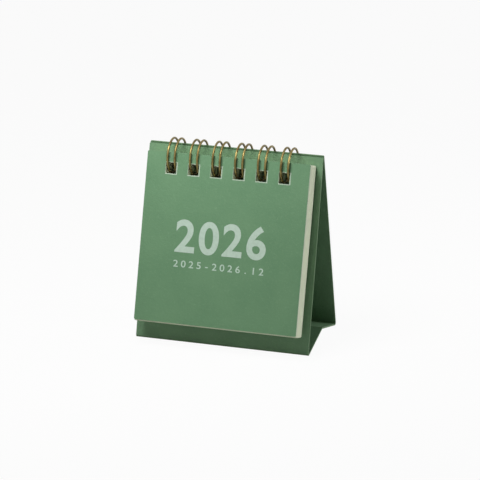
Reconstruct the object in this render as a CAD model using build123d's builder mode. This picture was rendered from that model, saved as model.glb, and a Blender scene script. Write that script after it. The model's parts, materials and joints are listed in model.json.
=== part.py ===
"""Small flip-over desk calendar: a folded card easel, a twin-loop wire binding, a cover and month leaves.

Millimetres, +Z up, +X to the right of a person who reads the calendar, looking along +Y.
The origin is on the table, under the middle of the whole object's box. Everything that the wire
binds is placed from one line, the wire axis, which runs along X through the centres of the loops.
"""

import os
from math import asin, cos, degrees, dist, radians, sin, sqrt, tan

from build123d import *

# Binding: twin loops, three to the inch, through square holes
loop_count = 6
loop_pitch = 25.4 / 3
loop_radius = 6.3
wire_diameter = 0.8
twin_spacing = 2.7
spine_angle = -73.0
spine_bend_radius = 1.0
tip_gap = 0.55
hole_size = 4.0
hole_corner_radius = 0.25
hole_clearance = 0.2
binding_clearance = 0.21

# Easel: one card folded into a front panel, two base flaps and a back panel
stand_width = 65.3
card_thickness = 0.6
axis_height = 65.95
front_lean = 13.8
front_panel_offset = 2.65
front_panel_rise = 3.8
back_lean = 14.5
back_panel_rise = 2.4
panel_corner_radius = 0.4
base_slope = 14.5
fold_inner_radius = 0.4
fold_flat_depth = 0.04
fold_clearance = 0.1
ridge_gap = 2.0

# Cover and leaves: bound near their top edges, hanging in front of the easel
leaf_count = 14
leaf_width = 60.8
leaf_height = 61.2
leaf_lean = 16.0
leaf_thickness = 0.38
leaf_gap = 0.1
leaf_rise = 1.14
leaf_corner_radius = 0.5
cover_height = 60.9
cover_thickness = 0.45
cover_gap = 0.2
cover_front_offset = 5.34
hang_share = 0.15

# The wire's gap to itself is measured on points this far apart, leaving out the stretch next to each
gap_step = 0.25
gap_skip = 3.0


def turned(angle, length=1.0):
    """A step in the side view, as (y, z), at an angle in degrees from +Y towards +Z."""
    return Vector(length * cos(radians(angle)), length * sin(radians(angle)))


def crossing(offset):
    """How far down a sheet the wire passes through it, from the sheet's point nearest the axis."""
    return sqrt(loop_radius**2 - offset**2)


def crossing_reach(offset, thickness):
    """Half the height of the wire's slanting way through a sheet at this offset from the axis."""
    slant = asin(abs(offset) / loop_radius)
    return wire_diameter / 2 / cos(slant) + thickness / 2 * tan(slant)


wire_radius = wire_diameter / 2
loop_centres = [(index - (loop_count - 1) / 2) * loop_pitch for index in range(loop_count)]
fold_outer_radius = fold_inner_radius + card_thickness
fold_middle_radius = fold_inner_radius + card_thickness / 2
fold_axis_height = fold_outer_radius - fold_flat_depth
inside_loop = loop_radius - wire_radius - binding_clearance
back_panel_offset = sqrt(inside_loop**2 - back_panel_rise**2) - card_thickness / 2
sheet_pitch = leaf_thickness + leaf_gap
cover_back_offset = cover_front_offset - cover_thickness
cover_middle_offset = cover_front_offset - cover_thickness / 2
first_leaf_offset = cover_back_offset - cover_gap - leaf_thickness

# Directions in the side view: down along each sheet, and square to it
front_down = turned(-90 - front_lean)
front_out = turned(-front_lean)
back_down = turned(-90 + back_lean)
back_out = turned(back_lean)
leaf_down = turned(-90 - leaf_lean)
leaf_out = turned(180 - leaf_lean)


def fold_place(out, down, offset):
    """The fold line at a panel's foot, in the side view and measured from the wire axis."""
    sideways = out * offset
    return sideways + down * ((axis_height - fold_axis_height + sideways.Y) / -down.Y)


front_fold = fold_place(front_out, front_down, front_panel_offset + fold_middle_radius)
back_fold = fold_place(back_out, back_down, back_panel_offset - fold_middle_radius)

# The wire axis stands where the whole object's box is centred on the origin
cover_tip = leaf_out * cover_front_offset + leaf_down * (cover_height - leaf_rise)
axis_y = -(cover_tip.X + back_fold.X + fold_outer_radius) / 2
axis = Vector(axis_y, axis_height)
ridge_y = axis_y + (front_fold.X + back_fold.X) / 2


def folded_panel(label, down, out, outward, offset, rise, fold, start_angle, end_angle):
    """One easel panel with the bent card of its fold, its row of holes and the flat that it stands on."""
    centre = axis + fold
    middle_angle = (start_angle + end_angle) / 2
    top = axis + out * offset - down * rise
    half = out * (outward * card_thickness / 2)
    outer_start = centre + turned(start_angle, fold_outer_radius)
    outer_end = centre + turned(end_angle, fold_outer_radius)
    inner_start = centre + turned(start_angle, fold_inner_radius)
    inner_end = centre + turned(end_angle, fold_inner_radius)
    hole_drop = crossing(offset) + crossing_reach(offset, card_thickness) + hole_clearance - hole_size / 2
    binding_plane = Plane(origin=(0, axis.X, axis.Y), x_dir=(1, 0, 0), z_dir=(0, out.X, out.Y))
    with BuildPart() as panel:
        with BuildSketch(Plane.YZ):
            with BuildLine():
                Polyline(inner_start, top - half, top + half, outer_start)
                ThreePointArc(outer_start, centre + turned(middle_angle, fold_outer_radius), outer_end)
                Line(outer_end, inner_end)
                ThreePointArc(inner_end, centre + turned(middle_angle, fold_inner_radius), inner_start)
            make_face()
        extrude(amount=stand_width / 2, both=True)
        corners = panel.edges().filter_by(Axis((0, 0, 0), (0, out.X, out.Y)))
        fillet(corners.filter_by(lambda edge: edge.center().Z > axis_height), radius=panel_corner_radius)
        split(bisect_by=Plane.XY)
        with BuildSketch(binding_plane.offset(offset)):
            with Locations(*[(x, hole_drop) for x in loop_centres]):
                RectangleRounded(hole_size, hole_size, hole_corner_radius)
        extrude(amount=card_thickness, both=True, mode=Mode.SUBTRACT)
    panel.part.label = label
    return panel


def base_flap(label, fold, slope_angle, outer_angle, trim):
    """One half of the base, from its fold up to the ridge, with a round free edge."""
    along = turned(slope_angle)
    root = axis + fold + turned(outer_angle, fold_middle_radius)
    half = turned(outer_angle, card_thickness / 2)
    length = (ridge_y - root.X) / along.X - trim
    start = root + along * fold_clearance
    end = root + along * (length - card_thickness / 2)
    with BuildPart() as flap:
        with BuildSketch(Plane.YZ):
            with BuildLine():
                Polyline(end + half, start + half, start - half, end - half)
                ThreePointArc(end - half, end + along * (card_thickness / 2), end + half)
            make_face()
        extrude(amount=stand_width / 2, both=True)
    flap.part.label = label
    return flap


sheet_hole_drop = (
    crossing(cover_middle_offset)
    - crossing_reach(cover_middle_offset, cover_thickness)
    - hole_clearance
    + hole_size / 2
)
leaf_plane = Plane(origin=(0, axis.X, axis.Y), x_dir=(1, 0, 0), z_dir=(0, leaf_out.X, leaf_out.Y))


def bound_sheet(label, back_offset, thickness, height):
    """A cover or leaf that hangs on the loops; the further from the cover, the lower it hangs."""
    middle_offset = back_offset + thickness / 2
    drop = hang_share * (crossing(middle_offset) - crossing(cover_middle_offset))
    with BuildPart() as sheet:
        with BuildSketch(leaf_plane.offset(back_offset)):
            with Locations((0, leaf_rise - drop - height / 2)):
                RectangleRounded(leaf_width, height, leaf_corner_radius)
            with Locations(*[(x, -sheet_hole_drop - drop) for x in loop_centres]):
                RectangleRounded(hole_size, hole_size, hole_corner_radius, mode=Mode.SUBTRACT)
        extrude(amount=thickness)
    sheet.part.label = label
    return sheet


def on_loop(x, angle, past=0.0):
    """A point on the loop at x and an angle from +Y, or past it along the loop's tangent there."""
    side = axis + turned(angle, loop_radius) + turned(angle + 90, past)
    return (x, side.X, side.Y)


front_panel = folded_panel(
    "front_panel", front_down, front_out, -1, front_panel_offset, front_panel_rise, front_fold,
    180 - front_lean, 270 + base_slope,
)
back_panel = folded_panel(
    "back_panel", back_down, back_out, 1, back_panel_offset, back_panel_rise, back_fold,
    back_lean, -90 - base_slope,
)
base_front_flap = base_flap("base_front_flap", front_fold, base_slope, -90 + base_slope, 0)
base_back_flap = base_flap("base_back_flap", back_fold, 180 - base_slope, -90 - base_slope, ridge_gap)
cover = bound_sheet("cover", cover_back_offset, cover_thickness, cover_height)
leaves = [
    bound_sheet(f"leaf_{index + 1:02d}", first_leaf_offset - index * sheet_pitch, leaf_thickness, leaf_height)
    for index in range(leaf_count)
]

# The binding is one wire: along the spine, round a loop to its tip, back beside itself, and on
tip_reach = spine_bend_radius + wire_diameter + tip_gap + twin_spacing / 2
tip_angle = spine_angle - 360 + degrees(tip_reach / loop_radius)
quarter_angles = [spine_angle + (tip_angle - spine_angle) * eighth / 8 for eighth in range(9)]
bend_side = spine_bend_radius * cos(radians(45))
left_legs = [x - twin_spacing / 2 for x in loop_centres]
right_legs = [x + twin_spacing / 2 for x in loop_centres]
run_starts = [left_legs[0] - spine_bend_radius - wire_diameter] + [x + spine_bend_radius for x in right_legs]
run_ends = [x - spine_bend_radius for x in left_legs] + [right_legs[-1] + spine_bend_radius + wire_diameter]

with BuildPart() as binding_wire:
    with BuildLine() as route:
        for start, end in zip(run_starts, run_ends):
            Line(on_loop(start, spine_angle, spine_bend_radius), on_loop(end, spine_angle, spine_bend_radius))
        for left, centre, right in zip(left_legs, loop_centres, right_legs):
            ThreePointArc(
                on_loop(left - spine_bend_radius, spine_angle, spine_bend_radius),
                on_loop(left - spine_bend_radius + bend_side, spine_angle, bend_side),
                on_loop(left, spine_angle),
            )
            for x in (left, right):
                for first in (0, 2, 4, 6):
                    ThreePointArc(*[on_loop(x, angle) for angle in quarter_angles[first : first + 3]])
            ThreePointArc(
                on_loop(left, tip_angle),
                on_loop(centre, tip_angle, -twin_spacing / 2),
                on_loop(right, tip_angle),
            )
            ThreePointArc(
                on_loop(right, spine_angle),
                on_loop(right + spine_bend_radius - bend_side, spine_angle, bend_side),
                on_loop(right + spine_bend_radius, spine_angle, spine_bend_radius),
            )
    wire_path = route.wire()
    with BuildSketch(Plane(origin=wire_path @ 0, z_dir=wire_path % 0)):
        Circle(wire_radius)
    sweep(path=wire_path)
binding_wire.part.label = "binding_wire"

steps = int(wire_path.length / gap_step)
points = [tuple(wire_path @ (index / steps)) for index in range(steps + 1)]
skip = int(gap_skip / gap_step)
least = min(dist(points[a], points[b]) for a in range(len(points)) for b in range(a + skip, len(points)))
print(f"binding wire: length {wire_path.length:.1f} mm, least gap to itself {least - wire_diameter:.3f} mm")
print(f"wire axis: y {axis_y:.4f}, z {axis_height:.4f}")
print(f"front fold: y {axis_y + front_fold.X:.4f}, back fold: y {axis_y + back_fold.X:.4f}, z {fold_axis_height:.4f}")

os.makedirs("parts", exist_ok=True)
for piece in [front_panel, back_panel, base_front_flap, base_back_flap, binding_wire, cover, *leaves]:
    export_step(piece.part, f"parts/{piece.part.label}.step")
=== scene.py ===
"""Looks of a small desk calendar on a folded card easel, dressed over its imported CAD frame.

Sizes in the classes are millimetres in the CAD's frame: +Z up, +X to the reader's right, +Y away from
the reader. Blender works in metres, and MM turns one into the other.
"""

import calendar
import json
import logging
from dataclasses import dataclass
from enum import Enum
from math import cos, degrees, radians, sin

import bpy
from mathutils import Matrix, Vector
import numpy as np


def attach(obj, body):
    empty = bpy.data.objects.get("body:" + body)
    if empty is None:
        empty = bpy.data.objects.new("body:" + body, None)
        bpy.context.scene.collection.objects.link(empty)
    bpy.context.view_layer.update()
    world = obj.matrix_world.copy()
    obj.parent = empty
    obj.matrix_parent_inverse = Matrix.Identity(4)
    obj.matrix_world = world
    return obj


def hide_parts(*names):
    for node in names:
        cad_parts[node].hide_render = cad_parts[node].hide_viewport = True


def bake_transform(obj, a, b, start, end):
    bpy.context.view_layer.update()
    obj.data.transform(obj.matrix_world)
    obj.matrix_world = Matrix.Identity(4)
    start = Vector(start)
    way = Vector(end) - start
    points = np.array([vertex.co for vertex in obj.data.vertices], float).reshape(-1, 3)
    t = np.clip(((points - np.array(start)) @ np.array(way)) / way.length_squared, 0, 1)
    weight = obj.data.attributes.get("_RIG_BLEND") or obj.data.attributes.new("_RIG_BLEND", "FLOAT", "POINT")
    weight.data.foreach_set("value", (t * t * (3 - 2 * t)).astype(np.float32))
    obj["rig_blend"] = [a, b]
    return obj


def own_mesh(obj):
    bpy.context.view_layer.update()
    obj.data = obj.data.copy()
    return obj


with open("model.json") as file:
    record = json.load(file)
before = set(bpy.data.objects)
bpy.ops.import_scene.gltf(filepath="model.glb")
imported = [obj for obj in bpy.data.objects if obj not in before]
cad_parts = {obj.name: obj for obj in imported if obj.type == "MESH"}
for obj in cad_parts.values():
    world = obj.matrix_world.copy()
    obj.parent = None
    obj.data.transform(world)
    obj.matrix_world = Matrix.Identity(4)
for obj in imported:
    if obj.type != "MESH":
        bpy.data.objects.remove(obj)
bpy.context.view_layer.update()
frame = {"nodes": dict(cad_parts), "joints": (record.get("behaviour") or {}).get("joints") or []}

MM = 0.001
# Twin-loop wire of this size has three loops to the inch
LOOP_PITCH = 25.4 / 3
LOOP_COUNT = 6
MERGE_DISTANCE = 0.001 * MM
FLAT_ANGLE = radians(1)
SMOOTH_ANGLE = radians(30)
EDGE_ANGLE = radians(40)
LOG = logging.getLogger("desk_calendar")


class Slot(Enum):
    """Material slots of the record."""

    EASEL = "easel_card"
    WIRE = "gold_wire"
    COVER = "cover_card"
    LEAF = "leaf_paper"


def linear(colour: str) -> tuple[float, float, float, float]:
    """Turns an sRGB hex colour into the linear one that Blender's sockets take.

    Args:
        colour: Hex colour such as "#6B946C".

    Returns:
        Linear red, green, blue and an alpha of 1.
    """
    shares = [int(colour[start : start + 2], 16) / 255 for start in (1, 3, 5)]
    red, green, blue = (
        share / 12.92 if share <= 0.04045 else ((share + 0.055) / 1.055) ** 2.4 for share in shares
    )
    return red, green, blue, 1.0


WHITE = linear("#FFFFFF")


def add_node(
    tree: bpy.types.NodeTree,
    kind: str,
    settings: dict[str | int, object] | None = None,
    links: dict[str | int, bpy.types.NodeSocket] | None = None,
) -> bpy.types.Node:
    """Adds one shader node with its settings and its links.

    Args:
        tree: Node tree that the node goes into.
        kind: Blender's name of the node type.
        settings: Values by the node's attribute, or by the name or number of an input.
        links: Output sockets by the name or number of the input that they feed.

    Returns:
        The new node.
    """
    node = tree.nodes.new(kind)
    for key, value in (settings or {}).items():
        if isinstance(key, str) and hasattr(node, key):
            setattr(node, key, value)
        else:
            node.inputs[key].default_value = value
    for key, socket in (links or {}).items():
        tree.links.new(socket, node.inputs[key])
    return node


def new_material(name: str) -> tuple[bpy.types.Material, bpy.types.NodeTree]:
    """Starts a node material with nothing in it.

    Args:
        name: What the material is.

    Returns:
        The material and its empty node tree.
    """
    material = bpy.data.materials.new(name)
    material.use_nodes = True
    material.node_tree.nodes.clear()
    return material, material.node_tree


def per_metre(size_mm: float) -> float:
    """Texture scale that gives a pattern a feature size in millimetres."""
    return 1 / (size_mm * MM)


@dataclass(frozen=True)
class FeltCard:
    """Dyed felt-marked card: matt and clouded, with pressed grain, pale fibres and a cut edge of its own
    colour, paler where the core is bared and darker where it is painted shade.
    """

    name: str
    colour: str
    cloud_colour: str
    fibre_colour: str
    cut_colour: str
    face_normal: tuple[float, float, float]
    cloud_mm: float = 14.0
    fibre_mm: float = 0.8
    grain_mm: float = 0.9
    grain_depth_mm: float = 0.12
    roughness: float = 0.66
    unevenness: float = 0.08

    def material(self) -> bpy.types.Material:
        """Builds the card's material; faces that turn away from face_normal show the cut edge.

        Returns:
            The material.
        """
        # The press felt leaves clouds and a grain, so the card looks matt, mottled and a little rough
        material, tree = new_material(self.name)
        place = add_node(tree, "ShaderNodeTexCoord")
        spot = place.outputs["Object"]
        clouds = add_node(
            tree,
            "ShaderNodeTexNoise",
            {"Scale": per_metre(self.cloud_mm), "Detail": 3.0, "Roughness": 0.55},
            {"Vector": spot},
        )
        cloud_share = add_node(
            tree,
            "ShaderNodeMapRange",
            {"From Min": 0.35, "From Max": 0.68, "To Min": 0.0, "To Max": 0.75},
            {"Value": clouds.outputs["Fac"]},
        )
        clouded = add_node(
            tree,
            "ShaderNodeMix",
            {"data_type": "RGBA", 6: linear(self.colour), 7: linear(self.cloud_colour)},
            {0: cloud_share.outputs["Result"]},
        )
        # Fibres are a few hundredths of a millimetre wide, too fine to show, so they are drawn coarser
        fibres = add_node(
            tree,
            "ShaderNodeTexNoise",
            {"Scale": per_metre(self.fibre_mm), "Detail": 4.0, "Roughness": 0.7, "Distortion": 1.2},
            {"Vector": spot},
        )
        fibre_share = add_node(
            tree,
            "ShaderNodeMapRange",
            {"From Min": 0.54, "From Max": 0.74, "To Min": 0.0, "To Max": 0.6},
            {"Value": fibres.outputs["Fac"]},
        )
        flecked = add_node(
            tree,
            "ShaderNodeMix",
            {"data_type": "RGBA", 7: linear(self.fibre_colour)},
            {0: fibre_share.outputs["Result"], 6: clouded.outputs[2]},
        )
        # Faces turned away from the face normal take the cut colour: the bared core on the cover, painted
        # shade on the easel
        facing = add_node(
            tree,
            "ShaderNodeVectorMath",
            {"operation": "DOT_PRODUCT", 1: self.face_normal},
            {0: place.outputs["Normal"]},
        )
        turned_away = add_node(
            tree, "ShaderNodeMath", {"operation": "ABSOLUTE"}, {0: facing.outputs["Value"]}
        )
        cut_core_and_shade_share = add_node(
            tree,
            "ShaderNodeMapRange",
            {"From Min": 0.96, "From Max": 0.88},
            {"Value": turned_away.outputs["Value"]},
        )
        edged = add_node(
            tree,
            "ShaderNodeMix",
            {"data_type": "RGBA", 7: linear(self.cut_colour)},
            {0: cut_core_and_shade_share.outputs["Result"], 6: flecked.outputs[2]},
        )
        grain = add_node(
            tree,
            "ShaderNodeTexNoise",
            {"Scale": per_metre(self.grain_mm), "Detail": 5.0, "Roughness": 0.62},
            {"Vector": spot},
        )
        pressed = add_node(
            tree,
            "ShaderNodeBump",
            {"Strength": 0.8, "Distance": self.grain_depth_mm * MM},
            {"Height": grain.outputs["Fac"]},
        )
        sheen_off = add_node(
            tree,
            "ShaderNodeMapRange",
            {"To Min": self.roughness - self.unevenness, "To Max": self.roughness + self.unevenness},
            {"Value": grain.outputs["Fac"]},
        )
        card = add_node(
            tree,
            "ShaderNodeBsdfPrincipled",
            {"IOR": 1.48, "Specular IOR Level": 0.5},
            {
                "Base Color": edged.outputs[2],
                "Roughness": sheen_off.outputs["Result"],
                "Normal": pressed.outputs["Normal"],
            },
        )
        add_node(tree, "ShaderNodeOutputMaterial", links={"Surface": card.outputs["BSDF"]})
        return material


@dataclass(frozen=True)
class UncoatedPaper:
    """Uncoated wood-free paper: warm white tinted green as a painted reflection of the green card round it,
    matt, a little uneven where the pulp is thicker.
    """

    name: str = "uncoated leaf paper"
    # Warm white with a green tint: the green is a painted reflection of the green card beside the leaves
    colour: str = "#EBF1D9"
    pulp_colour: str = "#DDE4C8"
    pulp_mm: float = 3.0
    tooth_mm: float = 0.3
    tooth_depth_mm: float = 0.01
    roughness: float = 0.88

    def material(self) -> bpy.types.Material:
        """Builds the paper's material.

        Returns:
            The material.
        """
        # Pulp lies thicker in places, so the paper looks matt and faintly uneven; the green in its colours
        # is a painted reflection of the green card
        material, tree = new_material(self.name)
        spot = add_node(tree, "ShaderNodeTexCoord").outputs["Object"]
        pulp = add_node(
            tree,
            "ShaderNodeTexNoise",
            {"Scale": per_metre(self.pulp_mm), "Detail": 5.0, "Roughness": 0.6},
            {"Vector": spot},
        )
        tinted = add_node(
            tree,
            "ShaderNodeMix",
            {"data_type": "RGBA", 6: linear(self.colour), 7: linear(self.pulp_colour)},
            {0: pulp.outputs["Fac"]},
        )
        # The paper's tooth is some hundredths of a millimetre, too fine to show, so it is drawn coarser
        tooth = add_node(
            tree,
            "ShaderNodeTexNoise",
            {"Scale": per_metre(self.tooth_mm), "Detail": 3.0},
            {"Vector": spot},
        )
        pressed = add_node(
            tree,
            "ShaderNodeBump",
            {"Strength": 0.4, "Distance": self.tooth_depth_mm * MM},
            {"Height": tooth.outputs["Fac"]},
        )
        paper = add_node(
            tree,
            "ShaderNodeBsdfPrincipled",
            {"Roughness": self.roughness, "IOR": 1.5, "Specular IOR Level": 0.3},
            {"Base Color": tinted.outputs[2], "Normal": pressed.outputs["Normal"]},
        )
        add_node(tree, "ShaderNodeOutputMaterial", links={"Surface": paper.outputs["BSDF"]})
        return material


@dataclass(frozen=True)
class GoldWire:
    """Drawn steel wire with a gold-coloured plating, browner where it was bent and handled."""

    name: str = "gold-plated binding wire"
    colour: str = "#86784B"
    handled_colour: str = "#4F4023"
    patch_mm: float = 2.2
    roughness: float = 0.38
    polish: float = 0.08
    dulling: float = 0.14

    def material(self) -> bpy.types.Material:
        """Builds the plated wire's material.

        Returns:
            The material.
        """
        # Bending wears the plating in patches, so the shine is soft and comes and goes along the wire
        material, tree = new_material(self.name)
        spot = add_node(tree, "ShaderNodeTexCoord").outputs["Object"]
        patches = add_node(
            tree,
            "ShaderNodeTexNoise",
            {"Scale": per_metre(self.patch_mm), "Detail": 3.0, "Roughness": 0.6},
            {"Vector": spot},
        )
        share = add_node(
            tree,
            "ShaderNodeMapRange",
            {"From Min": 0.4, "From Max": 0.7, "To Min": 0.0, "To Max": 0.8},
            {"Value": patches.outputs["Fac"]},
        )
        plated = add_node(
            tree,
            "ShaderNodeMix",
            {"data_type": "RGBA", 6: linear(self.colour), 7: linear(self.handled_colour)},
            {0: share.outputs["Result"]},
        )
        dulled = add_node(
            tree,
            "ShaderNodeMapRange",
            {"To Min": self.roughness - self.polish, "To Max": self.roughness + self.dulling},
            {"Value": patches.outputs["Fac"]},
        )
        wire = add_node(
            tree,
            "ShaderNodeBsdfPrincipled",
            {"Metallic": 1.0},
            {"Base Color": plated.outputs[2], "Roughness": dulled.outputs["Result"]},
        )
        add_node(tree, "ShaderNodeOutputMaterial", links={"Surface": wire.outputs["BSDF"]})
        return material


@dataclass(frozen=True)
class ScreenInk:
    """Screen-printed matt ink: thin enough for the card's grain to break it up a little."""

    name: str
    colour: str
    thin_colour: str
    grain_mm: float = 0.9
    roughness: float = 0.7

    def material(self) -> bpy.types.Material:
        """Builds the ink's material.

        Returns:
            The material.
        """
        # Ink lies thinner on the high grain, so the figures look matt and a little broken up
        material, tree = new_material(self.name)
        spot = add_node(tree, "ShaderNodeTexCoord").outputs["Object"]
        grain = add_node(
            tree,
            "ShaderNodeTexNoise",
            {"Scale": per_metre(self.grain_mm), "Detail": 5.0, "Roughness": 0.62},
            {"Vector": spot},
        )
        thin = add_node(
            tree,
            "ShaderNodeMapRange",
            {"From Min": 0.42, "From Max": 0.75, "To Min": 0.0, "To Max": 0.6},
            {"Value": grain.outputs["Fac"]},
        )
        printed = add_node(
            tree,
            "ShaderNodeMix",
            {"data_type": "RGBA", 6: linear(self.colour), 7: linear(self.thin_colour)},
            {0: thin.outputs["Result"]},
        )
        ink = add_node(
            tree,
            "ShaderNodeBsdfPrincipled",
            {"Roughness": self.roughness, "IOR": 1.5, "Specular IOR Level": 0.35},
            {"Base Color": printed.outputs[2]},
        )
        add_node(tree, "ShaderNodeOutputMaterial", links={"Surface": ink.outputs["BSDF"]})
        return material


def side_step(angle: float, length: float = 1.0) -> Vector:
    """A step in the side view, turned from +Y towards +Z.

    Args:
        angle: Degrees from +Y.
        length: Length of the step.

    Returns:
        The step, with no part along X.
    """
    return Vector((0.0, length * cos(radians(angle)), length * sin(radians(angle))))


def joint_place(name: str) -> Vector:
    """A joint's place in the frame, in millimetres.

    Args:
        name: The joint's name in the record.

    Returns:
        The point that the record gives.
    """
    joint = next(joint for joint in frame["joints"] if joint["name"] == name)
    return Vector(joint["pos_m"]) / MM


def direction(azimuth: float, elevation: float) -> Vector:
    """A direction away from the object, as the places of the lamps and the camera are given.

    Args:
        azimuth: Degrees from the front, -Y, to the right, +X.
        elevation: Degrees above the table.

    Returns:
        The unit vector.
    """
    around, above = radians(azimuth), radians(elevation)
    return Vector((sin(around) * cos(above), -cos(around) * cos(above), sin(above)))


def look_back(thing: bpy.types.Object, away: Vector) -> None:
    """Turns a lamp or the camera to look back along the direction that it stands in.

    Args:
        thing: The lamp or the camera.
        away: Direction from the object to it.
    """
    thing.rotation_mode = "QUATERNION"
    thing.rotation_quaternion = (-away).to_track_quat("-Z", "Y")


def activate(piece: bpy.types.Object) -> None:
    """Makes a piece the one that operators act on.

    Args:
        piece: The piece.
    """
    bpy.ops.object.select_all(action="DESELECT")
    piece.select_set(True)
    bpy.context.view_layer.objects.active = piece


def apply_modifier(piece: bpy.types.Object, kind: str, name: str, **settings: object) -> None:
    """Adds a modifier to a piece and applies it.

    Args:
        piece: The piece.
        kind: Blender's modifier type.
        name: What the modifier is for.
        **settings: The modifier's own settings.
    """
    activate(piece)
    modifier = piece.modifiers.new(name, kind)
    for key, value in settings.items():
        setattr(modifier, key, value)
    bpy.ops.object.modifier_apply(modifier=modifier.name)


def round_edges(piece: bpy.types.Object, name: str, width_mm: float, segments: int) -> None:
    """Rounds a piece's sharp edges over and shades the piece smooth between them.

    Args:
        piece: The piece.
        name: What the rounding is.
        width_mm: Width of the rounding.
        segments: Faces across the rounding.
    """
    apply_modifier(
        piece,
        "BEVEL",
        name,
        width=width_mm * MM,
        segments=segments,
        limit_method="ANGLE",
        angle_limit=EDGE_ANGLE,
    )
    bpy.ops.object.shade_smooth_by_angle(angle=SMOOTH_ANGLE)


def dress(piece: bpy.types.Object, material: bpy.types.Material) -> None:
    """Gives a piece one material all over.

    Args:
        piece: The piece.
        material: Its material.
    """
    piece.data.materials.clear()
    piece.data.materials.append(material)


def seat(piece: bpy.types.Object, body: str) -> None:
    """Puts a piece on the body that it moves with and logs it.

    Args:
        piece: The finished piece, in place.
        body: The CAD body.
    """
    if "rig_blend" not in piece:
        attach(piece, body)
    LOG.info("%s rides on %s, %d faces", piece.name, body, len(piece.data.polygons))


def softened(node: str, name: str, edge_mm: float) -> bpy.types.Object:
    """Models a sheet of card from its CAD node, with its punched and cut edges rounded over.

    Args:
        node: The CAD node that the piece stands for.
        name: The piece's name.
        edge_mm: Width of the rounding.

    Returns:
        The new piece, which replaces the node.
    """
    piece = bpy.data.objects.new(name, frame["nodes"][node].data.copy())
    bpy.context.scene.collection.objects.link(piece)
    activate(piece)
    bpy.ops.mesh.customdata_custom_splitnormals_clear()
    bpy.ops.object.mode_set(mode="EDIT")
    bpy.ops.mesh.select_all(action="SELECT")
    bpy.ops.mesh.remove_doubles(threshold=MERGE_DISTANCE)
    bpy.ops.mesh.dissolve_limited(angle_limit=FLAT_ANGLE)
    bpy.ops.object.mode_set(mode="OBJECT")
    round_edges(piece, "rounded cut edge", edge_mm, segments=2)
    apply_modifier(piece, "WEIGHTED_NORMAL", "flat faces stay flat", keep_sharp=True)
    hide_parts(node)
    return piece


def card_strip(name: str, line: list[Vector], width: float, thickness: float) -> bpy.types.Object:
    """Models a strip of bent card that follows a line in the side view.

    Args:
        name: The piece's name.
        line: Points of the card's middle, in millimetres.
        width: Width along X.
        thickness: Thickness of the card.

    Returns:
        The strip, a closed mesh.
    """
    bpy.ops.object.select_all(action="DESELECT")
    bpy.ops.mesh.primitive_grid_add(x_subdivisions=1, y_subdivisions=len(line) - 1, size=1)
    piece = bpy.context.object
    piece.name = name
    rows = sorted({round(vertex.co.y, 5) for vertex in piece.data.vertices})
    for vertex in piece.data.vertices:
        point = line[rows.index(round(vertex.co.y, 5))]
        vertex.co = Vector((vertex.co.x * width, point.y, point.z)) * MM
    apply_modifier(piece, "SOLIDIFY", "card thickness", thickness=thickness * MM, offset=0.0)
    bpy.ops.object.mode_set(mode="EDIT")
    bpy.ops.mesh.select_all(action="SELECT")
    bpy.ops.mesh.normals_make_consistent(inside=False)
    bpy.ops.object.mode_set(mode="OBJECT")
    bpy.ops.object.shade_smooth_by_angle(angle=SMOOTH_ANGLE)
    return piece


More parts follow.
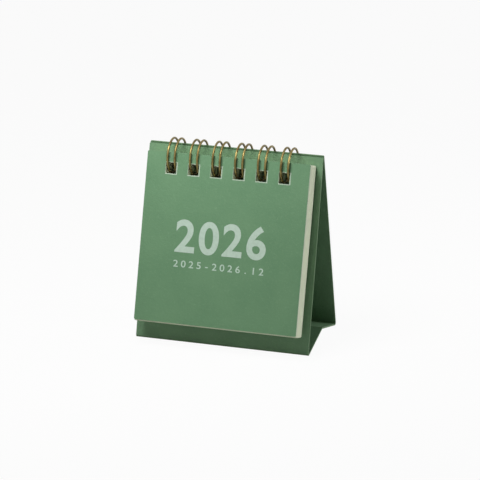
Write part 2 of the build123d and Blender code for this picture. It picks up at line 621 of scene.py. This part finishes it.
@dataclass
class Easel:
    """The folded card stand: two panels, the two halves of its base, and the card at the folds."""

    width: float = 65.3
    card: float = 0.6
    fold_inner_radius: float = 0.4
    base_slope: float = 14.5
    fold_clearance: float = 0.1
    ridge_gap: float = 2.0
    edge: float = 0.14
    front_lean: float = 13.8
    back_lean: float = 14.5
    strip_inset: float = 0.04
    fold_thinning: float = 0.09
    fold_overlap: float = 0.3
    fold_turns: tuple[int, ...] = (12, 6, 0)
    fold_steps: int = 10
    ridge_thinning: float = 0.02
    ridge_overlap: float = 0.2
    ridge_steps: int = 6

    def finish(self, part: str, lean: float) -> FeltCard:
        """The easel card's finish for one of its panels.

        Args:
            part: The panel's name.
            lean: Degrees from +Y to the normal of its faces.

        Returns:
            The finish.
        """
        normal = side_step(lean)
        # The easel is the same card as the cover, painted a little lighter so that its panel above the
        # cover, in the wires' shade, shows as bright as the cover: painted light
        return FeltCard(
            name=f"dyed felt card of the {part}",
            colour="#6C906C",
            cloud_colour="#658966",
            fibre_colour="#7E9F7D",
            # The cut edges are painted darker than the faces: painted shade
            cut_colour="#56754F",
            face_normal=tuple(normal),
        )

    def build(self) -> None:
        """Builds and dresses the panels, flaps, fold strips and the ridge."""
        front = self.finish("front panel", -self.front_lean).material()
        back = self.finish("back panel", self.back_lean).material()
        base_front = self.finish("front base flap", self.base_slope + 90).material()
        base_back = self.finish("back base flap", 90 - self.base_slope).material()
        for node, body, material in (
            ("front_panel", "stand_front", front),
            ("back_panel", "stand_back", back),
            ("base_front_flap", "base_front", base_front),
            ("base_back_flap", "base_back", base_back),
        ):
            piece = softened(node, f"{node}_card", self.edge)
            dress(piece, material)
            seat(piece, body)
        front_bodies = ("stand_front", "base_front")
        self.build_fold("front_fold_strip", "base_front_fold", front_bodies, 1, base_front)
        back_bodies = ("stand_back", "base_back")
        self.build_fold("back_fold_strip", "base_back_fold", back_bodies, -1, base_back)
        self.build_ridge(base_back)

    def build_fold(
        self, name: str, joint: str, bodies: tuple[str, str], towards: int, material: bpy.types.Material
    ) -> None:
        """Builds the bit of card that bends where a flap leaves its panel's fold.

        Args:
            name: The strip's name.
            joint: The fold's joint.
            bodies: The panel's body and the flap's body.
            towards: 1 where the flap runs along +Y, and -1 along -Y.
            material: The card's material.
        """
        centre = joint_place(joint)
        middle = self.fold_inner_radius + self.card / 2
        end_angle = -90 + towards * self.base_slope
        along = side_step(90 - towards * (90 - self.base_slope))
        root = centre + side_step(end_angle, middle)
        line = [centre + side_step(end_angle - towards * turn, middle) for turn in self.fold_turns]
        for step in range(1, self.fold_steps + 1):
            line.append(root + along * (self.fold_clearance * step / self.fold_steps))
        line.append(root + along * (self.fold_clearance + self.fold_overlap))
        thickness = self.card - self.fold_thinning
        strip = card_strip(name, line, self.width - self.strip_inset, thickness)
        dress(strip, material)
        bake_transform(strip, *bodies, start=root * MM, end=(root + along * self.fold_clearance) * MM)
        seat(strip, bodies[1])

    def build_ridge(self, material: bpy.types.Material) -> None:
        """Builds the last bit of the back flap, up to the ridge.

        Args:
            material: The card's material.
        """
        middle = self.fold_inner_radius + self.card / 2
        front, back = joint_place("base_front_fold"), joint_place("base_back_fold")
        along = side_step(180 - self.base_slope)
        root = back + side_step(-90 - self.base_slope, middle)
        length = ((front.y + back.y) / 2 - root.y) / along.y
        start = length - self.ridge_gap - self.card / 2 - self.ridge_overlap
        line = []
        for step in range(self.ridge_steps + 1):
            line.append(root + along * (start + (length - start) * step / self.ridge_steps))
        thickness = self.card - self.ridge_thinning
        strip = card_strip("ridge_strip", line, self.width - self.strip_inset, thickness)
        round_edges(strip, "rounded ridge", self.edge, segments=3)
        dress(strip, material)
        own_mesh(strip)
        seat(strip, "base_back")


@dataclass
class Binding:
    """The twin-loop wire binding, one wire from end to end."""

    loop_count: int = LOOP_COUNT
    pitch: float = LOOP_PITCH
    loop_radius: float = 6.3
    wire_diameter: float = 0.8
    twin_spacing: float = 2.7
    spine_angle: float = -73.0
    bend_radius: float = 1.0
    tip_gap: float = 0.55
    arc_step: float = 5.0
    bend_step: int = 15
    tip_step: int = 12
    round_steps: int = 4
    smooth_angle: float = 40.0

    def on_loop(self, x: float, angle: float, past: float = 0.0) -> Vector:
        """A point of the loop at x, or past it along the loop's tangent.

        Args:
            x: Place along the binding.
            angle: Degrees round the loop from +Y.
            past: Distance along the tangent there.

        Returns:
            The point in millimetres.
        """
        side = joint_place("stand_fold") + side_step(angle, self.loop_radius)
        return Vector((x, 0, 0)) + side + side_step(angle + 90, past)

    def bend(self, x: float, towards: int) -> list[Vector]:
        """A quarter turn between a leg at x and the spine.

        Args:
            x: The leg's place.
            towards: -1 where the spine comes from the left, and 1 where it leaves to the right.

        Returns:
            Points from the leg to the spine.
        """
        turns = [radians(angle) for angle in range(0, 91, self.bend_step)]
        return [
            self.on_loop(
                x + towards * self.bend_radius * (1 - cos(turn)),
                self.spine_angle,
                self.bend_radius * sin(turn),
            )
            for turn in turns
        ]

    def route(self) -> list[Vector]:
        """The middle line of the wire from its left end to its right end.

        Returns:
            Points in millimetres.
        """
        reach = self.bend_radius + self.wire_diameter + self.tip_gap + self.twin_spacing / 2
        tip_angle = self.spine_angle - 360 + degrees(reach / self.loop_radius)
        count = round((self.spine_angle - tip_angle) / self.arc_step)
        sweep = tip_angle - self.spine_angle
        angles = [self.spine_angle + sweep * step / count for step in range(count + 1)]
        half = self.twin_spacing / 2
        stub = self.bend_radius + self.wire_diameter
        first = -(self.loop_count - 1) / 2 * self.pitch - half - stub
        points = [self.on_loop(first, self.spine_angle, self.bend_radius)]
        for index in range(self.loop_count):
            centre = (index - (self.loop_count - 1) / 2) * self.pitch
            points += self.bend(centre - half, -1)[::-1]
            points += [self.on_loop(centre - half, angle) for angle in angles[1:-1]]
            points += [
                self.on_loop(centre - half * cos(radians(turn)), tip_angle, -half * sin(radians(turn)))
                for turn in range(0, 181, self.tip_step)
            ]
            points += [self.on_loop(centre + half, angle) for angle in angles[-2:0:-1]]
            points += self.bend(centre + half, 1)
        points.append(self.on_loop(-first, self.spine_angle, self.bend_radius))
        return points

    def build(self) -> None:
        """Builds the wire as a round curve along its route, makes it a mesh and dresses it."""
        points = self.route()
        bpy.ops.object.select_all(action="DESELECT")
        bpy.ops.curve.primitive_nurbs_path_add()
        piece = bpy.context.object
        piece.name = "binding_wire_plated"
        curve = piece.data
        curve.splines.clear()
        spline = curve.splines.new("POLY")
        spline.points.add(len(points) - 1)
        for spline_point, point in zip(spline.points, points):
            spline_point.co = (*(point * MM), 1.0)
        curve.bevel_depth = self.wire_diameter / 2 * MM
        curve.bevel_resolution = self.round_steps
        curve.use_fill_caps = True
        bpy.ops.object.convert(target="MESH")
        bpy.ops.object.shade_smooth_by_angle(angle=radians(self.smooth_angle))
        dress(piece, GoldWire().material())
        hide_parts("binding_wire")
        seat(piece, "stand_front")


@dataclass(frozen=True)
class BoundSheet:
    """The front face of a bound sheet, measured on its CAD node: what is printed is placed on it."""

    node: str
    lean: float = 16.0

    def place(self, x: float, below_top: float, lift: float) -> Matrix:
        """Where a print's own frame lies on the sheet.

        Args:
            x: Place of the print's origin along the sheet.
            below_top: Distance of its foot below the sheet's top edge.
            lift: How far the print stands off the sheet.

        Returns:
            The matrix from millimetres on the sheet to metres in the frame.
        """
        up, out = side_step(90 - self.lean), side_step(180 - self.lean)
        points = [vertex.co / MM for vertex in frame["nodes"][self.node].data.vertices]
        top = max(point.dot(up) for point in points)
        front = max(point.dot(out) for point in points)
        origin = up * (top - below_top) + out * (front + lift) + Vector((x, 0, 0))
        columns = Matrix((Vector((1, 0, 0)), up, out)).transposed().to_4x4()
        return Matrix.Scale(MM, 4) @ Matrix.Translation(origin) @ columns


@dataclass(frozen=True)
class Figures:
    """A row of figures in Blender's own font, each in the middle of its own cell."""

    width: float
    height: float
    pitch: float
    weight: float = 0.0
    curve_steps: int = 4

    def figure(self, words: str) -> bpy.types.Object:
        """Sets one figure as a flat mesh that is centred on its own width.

        Args:
            words: The figure.

        Returns:
            The mesh object, in the font's own size.
        """
        bpy.ops.object.select_all(action="DESELECT")
        bpy.ops.object.text_add()
        text = bpy.context.object
        text.data.body = words
        text.data.offset = self.weight
        text.data.align_x = "CENTER"
        text.data.resolution_u = self.curve_steps
        bpy.ops.object.convert(target="MESH")
        return text

    def row(self, name: str, words: list[str], place: Matrix) -> bpy.types.Object:
        """Sets a row of figures on a sheet.

        Args:
            name: The print's name.
            words: The figures, one for each cell, and an empty one for a blank cell.
            place: The sheet's matrix for the middle of the first cell.

        Returns:
            The print, one mesh.
        """
        pattern = self.figure("2")
        spots = [vertex.co for vertex in pattern.data.vertices]
        wide = max(spot.x for spot in spots) - min(spot.x for spot in spots)
        high = max(spot.y for spot in spots)
        stretch = Matrix.Diagonal((self.width / wide, self.height / high, 1.0, 1.0))
        bpy.data.objects.remove(pattern)
        cells = []
        for index, word in enumerate(words):
            if not word:
                continue
            cell = self.figure(word)
            cell.data.transform(place @ Matrix.Translation((index * self.pitch, 0, 0)) @ stretch)
            cells.append(cell)
        return joined(name, cells)


def joined(name: str, pieces: list[bpy.types.Object]) -> bpy.types.Object:
    """Joins pieces into one.

    Args:
        name: The joined piece's name.
        pieces: The pieces, all at the origin.

    Returns:
        The joined piece.
    """
    activate(pieces[0])
    for piece in pieces:
        piece.select_set(True)
    bpy.ops.object.join()
    pieces[0].name = name
    return pieces[0]


@dataclass
class Cover:
    """The cover card with its rounded punched edges, their bared white core with a painted highlight on the
    right and at the bottom of each hole, and its printed year.
    """

    edge: float = 0.16
    ink_lift: float = 0.015
    year: str = "2026"
    year_figures: Figures = Figures(width=7.4, height=11.45, pitch=8.87, weight=0.022, curve_steps=20)
    year_left: float = -13.62
    year_foot: float = 34.95
    span: str = "2025-2026.12"
    span_figures: Figures = Figures(width=1.75, height=2.45, pitch=2.917, weight=0.01, curve_steps=8)
    span_left: float = -16.42
    span_foot: float = 40.6
    hole_count: int = LOOP_COUNT
    hole_pitch: float = LOOP_PITCH
    hole_size: float = 4.0
    hole_top: float = 3.6
    rim: float = 0.26
    # Moves the rims' outer edges right and down: a painted highlight where the light catches the punched
    # edge
    rim_shift: tuple[float, float] = (0.16, -0.1)

    def build(self) -> None:
        """Builds and dresses the card, the rims of its holes and its two printed lines."""
        sheet = BoundSheet("cover")
        card = FeltCard(
            name="printed felt card of the cover",
            colour="#628B66",
            cloud_colour="#6B936D",
            fibre_colour="#7B9F7C",
            cut_colour="#C9D3C0",
            face_normal=tuple(side_step(180 - sheet.lean)),
        )
        ink = ScreenInk("pale mint screen ink", "#C3D8C8", "#AEC6B2").material()
        year_place = sheet.place(self.year_left, self.year_foot, self.ink_lift)
        span_place = sheet.place(self.span_left, self.span_foot, self.ink_lift)
        prints = [
            self.year_figures.row("cover_year", list(self.year), year_place),
            self.span_figures.row("cover_span", list(self.span), span_place),
        ]
        rims = self.build_rims(sheet)
        piece = softened("cover", "cover_card", self.edge)
        dress(piece, card.material())
        dress(rims, UncoatedPaper("bared white core", "#C6D6C4", "#9DB89B", pulp_mm=0.8).material())
        for mark in prints:
            dress(mark, ink)
        for part in (piece, rims, *prints):
            seat(part, "cover")

    def build_rims(self, sheet: BoundSheet) -> bpy.types.Object:
        """Builds the thin rims round the holes where the punch has torn the print off, wider on the right
        and at the bottom as a painted highlight where the light catches the punched edge.

        Args:
            sheet: The cover's front face.

        Returns:
            The rims, one mesh.
        """
        rims = []
        for index in range(self.hole_count):
            bpy.ops.object.select_all(action="DESELECT")
            bpy.ops.mesh.primitive_plane_add(size=self.hole_size + 2 * self.rim)
            rim = bpy.context.object
            bpy.ops.object.mode_set(mode="EDIT")
            bpy.ops.mesh.select_all(action="SELECT")
            bpy.ops.mesh.inset(thickness=self.rim)
            bpy.ops.mesh.delete(type="FACE")
            bpy.ops.object.mode_set(mode="OBJECT")
            # The outer edge moves right and down, so the rim is wider there: a painted highlight over the
            # bared core
            for vertex in rim.data.vertices:
                if abs(vertex.co.x) > (self.hole_size + self.rim) / 2:
                    vertex.co += Vector((*self.rim_shift, 0.0))
            x = (index - (self.hole_count - 1) / 2) * self.hole_pitch
            rim.data.transform(sheet.place(x, self.hole_top + self.hole_size / 2, self.ink_lift))
            rims.append(rim)
        return joined("punched_rims", rims)


@dataclass
class Leaves:
    """The month leaves: two months of one year and twelve of the next, as plain day numbers."""

    first_year: int = 2025
    first_month: int = 11
    count: int = 14
    ink_lift: float = 0.015
    day_size: tuple[float, float] = (1.5, 2.3)
    day_pitch: tuple[float, float] = (7.6, 7.2)
    first_day: tuple[float, float] = (-22.8, 18.5)

    def build(self) -> None:
        """Dresses the leaves and prints their day numbers."""
        paper = UncoatedPaper().material()
        ink = ScreenInk("grey leaf ink", "#5C6259", "#767C72", grain_mm=0.4).material()
        for number in range(1, self.count + 1):
            leaf = f"leaf_{number:02d}"
            dress(frame["nodes"][leaf], paper)
            LOG.info("%s keeps its CAD shape, dressed in %s", leaf, paper.name)
            self.print_days(leaf, number, ink)

    def print_days(self, leaf: str, number: int, ink: bpy.types.Material) -> None:
        """Prints a leaf's month as rows of day numbers, one row for each week.

        Args:
            leaf: The leaf's name, as a node and as a body.
            number: The leaf's place in the block, 1 next to the cover.
            ink: The ink's material.
        """
        day = Figures(width=self.day_size[0], height=self.day_size[1], pitch=self.day_pitch[0])
        years, month = divmod(self.first_month + number - 2, 12)
        rows = []
        for week, dates in enumerate(calendar.monthcalendar(self.first_year + years, month + 1)):
            words = [str(date) if date else "" for date in dates]
            below = self.first_day[1] + week * self.day_pitch[1]
            place = BoundSheet(leaf).place(self.first_day[0], below, self.ink_lift)
            rows.append(day.row(f"{leaf}_week_{week}", words, place))
        days = joined(f"{leaf}_days", rows)
        dress(days, ink)
        seat(days, leaf)


@dataclass(frozen=True)
class Lamp:
    """A square lamp round the object, in degrees from the front to the right and up, and in millimetres."""

    name: str
    azimuth: float
    elevation: float
    distance: float
    size: float
    watts: float


@dataclass
class Studio:
    """White table, soft lamps and the camera at the photographed angle."""

    azimuth: float = 18.1
    elevation: float = 17.9
    distance: float = 915.0
    pixels_per_mm: float = 2.7615
    frame_pixels: float = 480.0
    aim: tuple[float, float, float] = (0.0, 3.75, 34.0)
    aim_pixel: tuple[float, float] = (236.4, 242.52)
    sensor_mm: float = 36.0
    clip_mm: tuple[float, float] = (10.0, 20000.0)
    sky_strength: float = 0.08
    table_mm: float = 8000.0
    table_colour: str = "#EAEAE8"
    table_glow: float = 0.95
    lamps: tuple[Lamp, ...] = (
        Lamp("key_lamp", azimuth=-20.0, elevation=64.0, distance=190.0, size=80.0, watts=0.31),
        Lamp("side_fill", azimuth=108.0, elevation=6.0, distance=260.0, size=90.0, watts=0.26),
        Lamp("low_fill", azimuth=-35.0, elevation=3.0, distance=260.0, size=60.0, watts=0.03),
    )

    def build(self) -> None:
        """Builds the table, the sky, the lamps and the camera."""
        bpy.context.scene.view_settings.view_transform = "Standard"
        self.build_table()
        self.build_sky()
        for lamp in self.lamps:
            self.build_lamp(lamp)
        self.build_camera()

    def seen_directly(self, tree: bpy.types.NodeTree) -> bpy.types.NodeSocket:
        """A socket that is 1 for camera, mirror and see-through rays.

        Args:
            tree: Node tree of the table or the sky.

        Returns:
            The socket.
        """
        rays = add_node(tree, "ShaderNodeLightPath")
        mirrored = add_node(
            tree,
            "ShaderNodeMath",
            {"operation": "MAXIMUM"},
            {0: rays.outputs["Is Camera Ray"], 1: rays.outputs["Is Glossy Ray"]},
        )
        seen = add_node(
            tree,
            "ShaderNodeMath",
            {"operation": "MAXIMUM"},
            {0: mirrored.outputs["Value"], 1: rays.outputs["Is Transmission Ray"]},
        )
        return seen.outputs["Value"]

    def build_table(self) -> None:
        """Builds the white table, which shows a faint shadow."""
        bpy.ops.object.select_all(action="DESELECT")
        bpy.ops.mesh.primitive_plane_add(size=self.table_mm * MM)
        table = bpy.context.object
        table.name = "table"
        material, tree = new_material("white matt table")
        paint = add_node(
            tree, "ShaderNodeBsdfDiffuse", {"Color": linear(self.table_colour), "Roughness": 0.6}
        )
        white = add_node(tree, "ShaderNodeEmission", {"Color": WHITE, "Strength": 1.0})
        share = add_node(
            tree,
            "ShaderNodeMath",
            {"operation": "MULTIPLY", 1: self.table_glow},
            {0: self.seen_directly(tree)},
        )
        mixed = add_node(
            tree,
            "ShaderNodeMixShader",
            links={0: share.outputs["Value"], 1: paint.outputs["BSDF"], 2: white.outputs["Emission"]},
        )
        add_node(tree, "ShaderNodeOutputMaterial", links={"Surface": mixed.outputs["Shader"]})
        dress(table, material)

    def build_sky(self) -> None:
        """Builds the white surround: plain soft light, and white where the camera sees it."""
        world = bpy.data.worlds.new("white surround")
        world.use_nodes = True
        tree = world.node_tree
        tree.nodes.clear()
        strength = add_node(
            tree,
            "ShaderNodeMapRange",
            {"To Min": self.sky_strength, "To Max": 1.0},
            {"Value": self.seen_directly(tree)},
        )
        light = add_node(
            tree,
            "ShaderNodeBackground",
            {"Color": WHITE},
            {"Strength": strength.outputs["Result"]},
        )
        add_node(tree, "ShaderNodeOutputWorld", links={"Surface": light.outputs["Background"]})
        bpy.context.scene.world = world

    def build_lamp(self, lamp: Lamp) -> None:
        """Builds one square lamp that shines at the middle of the object.

        Args:
            lamp: Where it stands and how strong it is.
        """
        away = direction(lamp.azimuth, lamp.elevation)
        bpy.ops.object.light_add(type="AREA", location=(Vector(self.aim) + away * lamp.distance) * MM)
        light = bpy.context.object
        light.name = lamp.name
        look_back(light, away)
        light.data.size = lamp.size * MM
        light.data.energy = lamp.watts

    def build_camera(self) -> None:
        """Builds the camera that the photograph was fitted with."""
        back = direction(self.azimuth, self.elevation)
        right = direction(self.azimuth + 90, 0.0)
        up = back.cross(right)
        middle = self.frame_pixels / 2
        aim = Vector(self.aim)
        aim += right * ((middle - self.aim_pixel[0]) / self.pixels_per_mm)
        aim += up * ((self.aim_pixel[1] - middle) / self.pixels_per_mm)
        bpy.ops.object.camera_add(location=(aim + back * self.distance) * MM)
        camera = bpy.context.object
        look_back(camera, back)
        camera.data.sensor_width = self.sensor_mm
        camera.data.lens = self.sensor_mm * self.pixels_per_mm * self.distance / self.frame_pixels
        camera.data.clip_start = self.clip_mm[0] * MM
        camera.data.clip_end = self.clip_mm[1] * MM
        bpy.context.scene.camera = camera


def main() -> None:
    """Builds the scene's parts in order."""
    logging.basicConfig(level=logging.INFO, format="%(name)s: %(message)s")
    Studio().build()
    Easel().build()
    Binding().build()
    Leaves().build()
    Cover().build()


if __name__ == "__main__":
    main()
